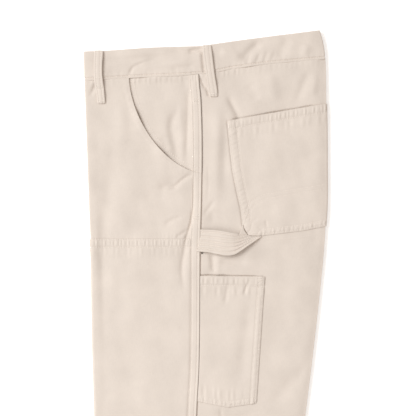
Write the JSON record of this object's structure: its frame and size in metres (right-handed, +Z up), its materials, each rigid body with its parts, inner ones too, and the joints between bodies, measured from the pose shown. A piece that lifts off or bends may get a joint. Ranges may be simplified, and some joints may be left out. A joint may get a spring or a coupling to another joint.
{
  "type": "work pants, folded along the leg creases and laid flat",
  "caption": "Canvas work pants laid flat on one side, with a reinforced front, a hammer loop, pockets and belt loops.",
  "frame": {"origin": "on the surface that the pants lie on, under the middle of their outline", "axes": "+Y from the hem to the waist, +X from the front crease to the back crease, +Z up"},
  "size_m": [0.3496, 1.083, 0.0173],
  "materials": {
    "canvas": "matt woven canvas",
    "canvas_light": "matt woven canvas"
  },
  "bodies": {
    "root": {"left_front": "canvas", "left_back": "canvas", "right_front": "canvas", "right_back": "canvas", "waistband_left": "canvas", "waistband_right": "canvas", "hip_facing": "canvas", "front_patch": "canvas", "back_pocket": "canvas_light", "tool_pocket": "canvas_light", "hammer_loop": "canvas_light", "belt_loop_front": "canvas_light", "belt_loop_side": "canvas_light"}
  },
  "joints": []
}
